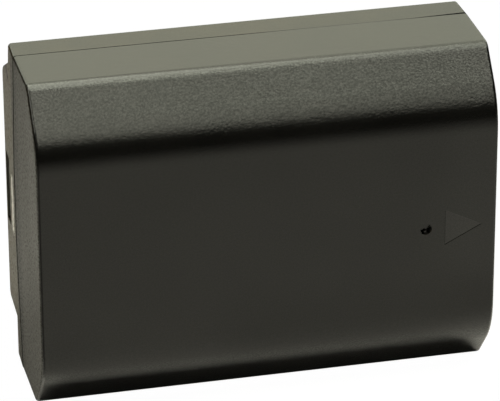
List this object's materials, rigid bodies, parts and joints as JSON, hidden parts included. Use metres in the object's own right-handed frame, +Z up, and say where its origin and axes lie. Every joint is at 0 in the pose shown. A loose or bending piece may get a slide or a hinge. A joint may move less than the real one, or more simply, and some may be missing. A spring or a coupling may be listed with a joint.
{
  "type": "camera battery",
  "caption": "Rechargeable camera battery in a bevelled two-piece black plastic case, with guide shoulders, an arrow mark and recessed contacts in one end.",
  "frame": {"origin": "centre of the base: the middle of the length and of the depth, on the flat narrow side that it stands on", "axes": "+X along the length toward the contact end, as the arrow on the front points; -Y out of the bevelled front face; +Z up"},
  "size_m": [0.0516, 0.0228, 0.0387],
  "materials": {
    "case_plastic": "fine moulded grain",
    "cell_metal": "satin",
    "sleeve_film": "smooth film",
    "washer_paper": "matte",
    "nickel": "satin",
    "fuse_body": "matte",
    "board_laminate": "solder mask",
    "chip_resin": "matte",
    "chip_ceramic": "matte",
    "block_plastic": "matte",
    "contact_plating": "polished",
    "sheet_paper": "matte",
    "pad_foam": "foam",
    "bead_glue": "soft"
  },
  "bodies": {
    "root": {"front_case": "case_plastic", "rear_case": "case_plastic", "upper_cell": "cell_metal", "lower_cell": "cell_metal", "upper_sleeve": "sleeve_film", "lower_sleeve": "sleeve_film", "upper_cap_ring": "washer_paper", "lower_cap_ring": "washer_paper", "upper_pad": "pad_foam", "lower_pad": "pad_foam", "adhesive_bead": "bead_glue", "positive_strip": "nickel", "fuse_strip": "nickel", "negative_strip": "nickel", "series_link": "nickel", "thermal_fuse": "fuse_body", "circuit_board": "board_laminate", "protection_chip": "chip_resin", "gauge_chip": "chip_resin", "charge_switch": "chip_resin", "discharge_switch": "chip_resin", "sense_resistor": "chip_ceramic", "chip_capacitors": "chip_ceramic", "temperature_sensor": "chip_ceramic", "terminal_block": "block_plastic", "positive_contact": "contact_plating", "negative_contact": "contact_plating", "data_contact": "contact_plating", "sensor_contact": "contact_plating", "contact_end_sheet": "sheet_paper", "link_end_sheet": "sheet_paper"}
  },
  "joints": []
}
